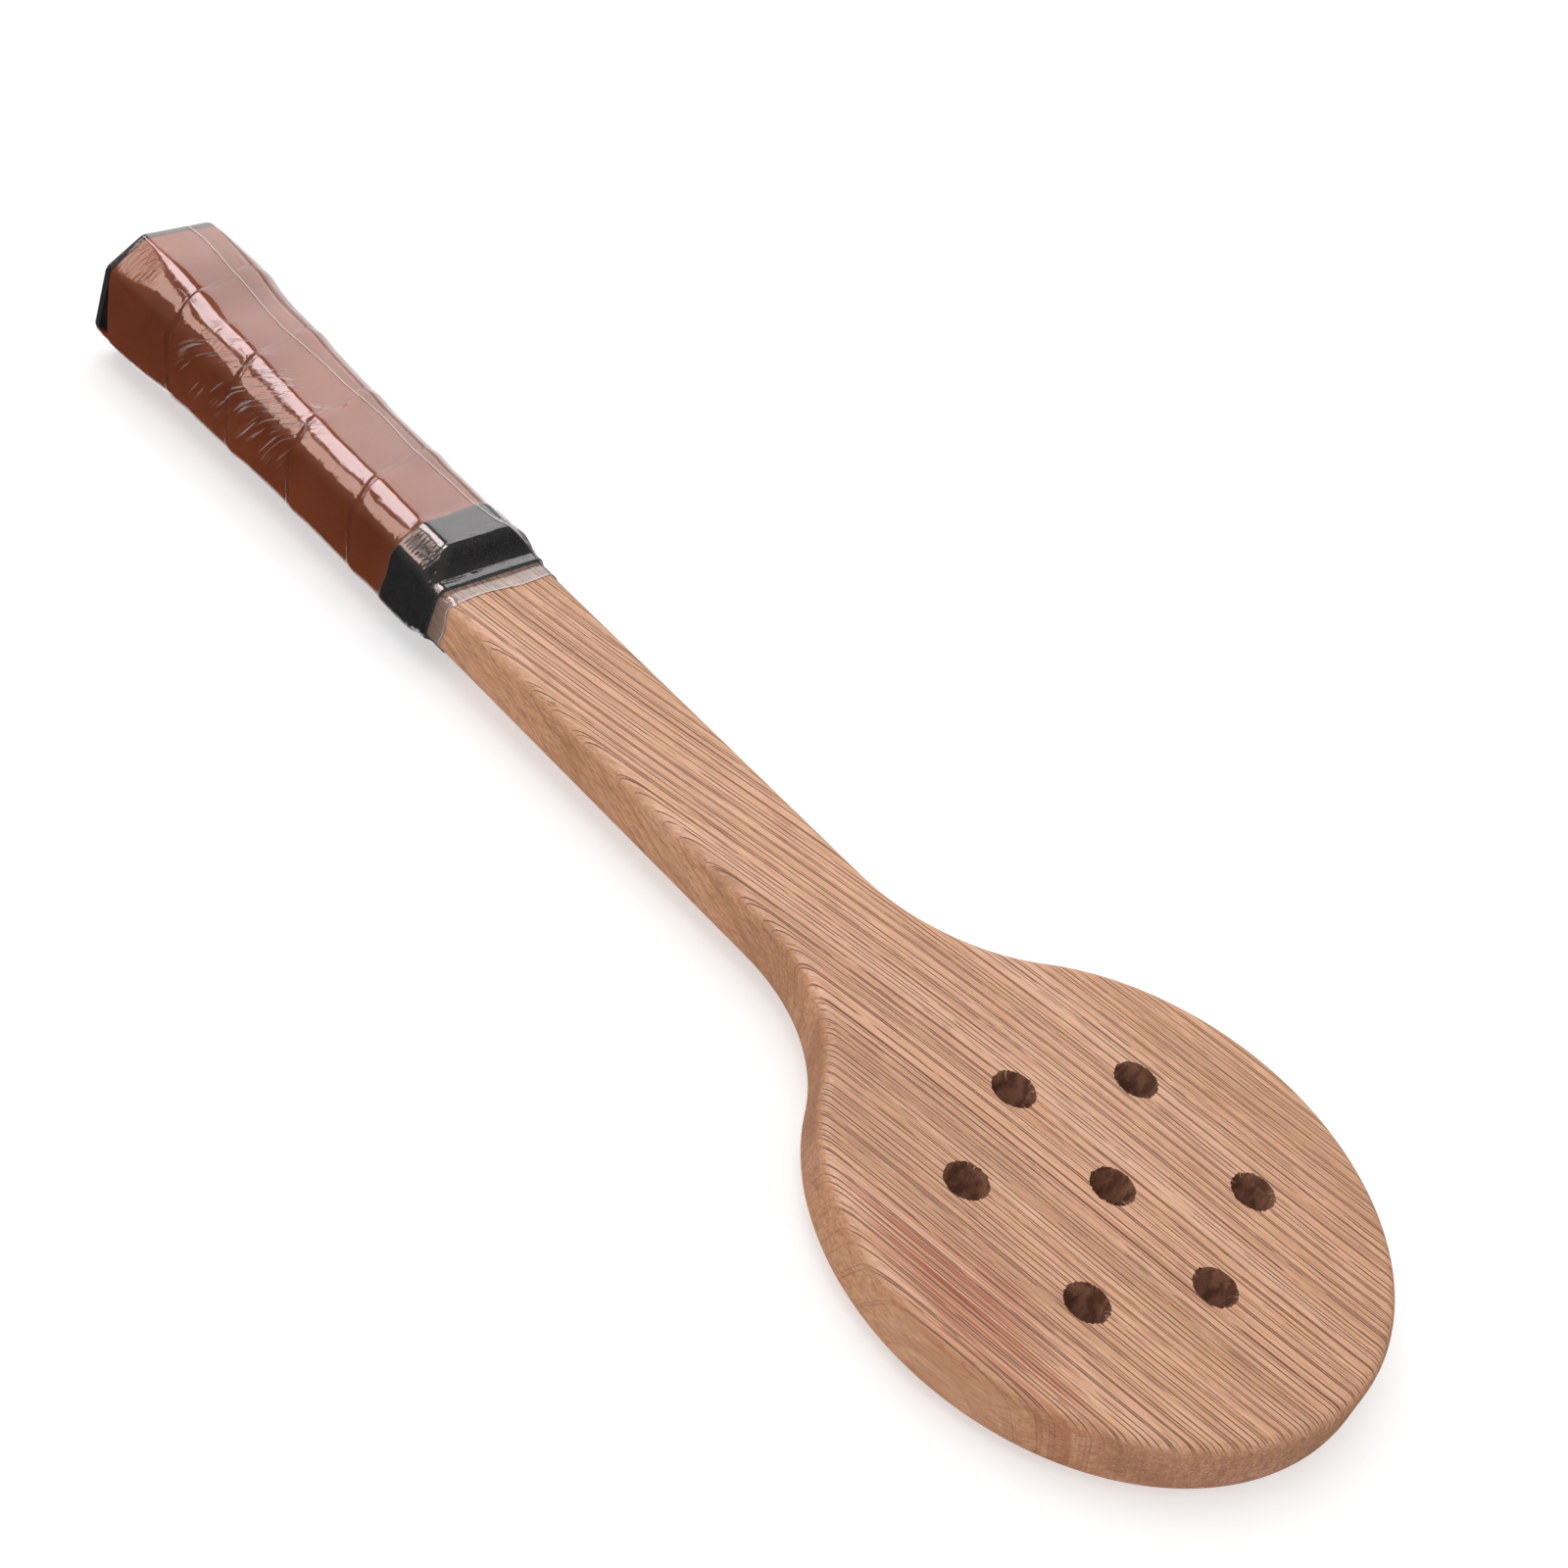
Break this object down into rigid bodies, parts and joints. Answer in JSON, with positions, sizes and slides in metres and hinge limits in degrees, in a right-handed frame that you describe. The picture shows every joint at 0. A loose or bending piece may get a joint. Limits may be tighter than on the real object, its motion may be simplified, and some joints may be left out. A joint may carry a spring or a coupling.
{
  "type": "pickleball paddle",
  "caption": "Small solid-oak trainer paddle: round drilled head, straight neck and a flared octagonal handle wound with a spiral grip under tape and clear film.",
  "frame": {"origin": "half way along the overall length, on the paddle's centre line, level with the lowest point of the handle when the paddle lies on its back face", "axes": "+Y runs from the butt of the handle to the tip of the head, +Z out of the front face of the head, +X across the head"},
  "size_m": [0.12, 0.384, 0.0332],
  "materials": {
    "oak": "sanded red oak, open dark pores, satin oil",
    "oak_cheek": "sawn oak, glued",
    "black_plastic": "moulded, fine texture",
    "staple_steel": "bright wire",
    "adhesive_strip": "double-sided adhesive strip",
    "felt_backing": "non-woven felt",
    "brown_grip": "smooth brown synthetic leather",
    "black_tape": "glossy stretched PVC tape",
    "clear_film": "thin clear wrapping film, crinkled"
  },
  "bodies": {
    "root": {"oak_blade": "oak", "handle_cheek_front": "oak_cheek", "handle_cheek_back": "oak_cheek", "butt_cap": "black_plastic", "cap_staple_left": "staple_steel", "cap_staple_right": "staple_steel", "grip_adhesive": "adhesive_strip", "grip_backing": "felt_backing", "grip_band": "brown_grip", "finishing_tape": "black_tape", "film_wrap": "clear_film"}
  },
  "joints": []
}
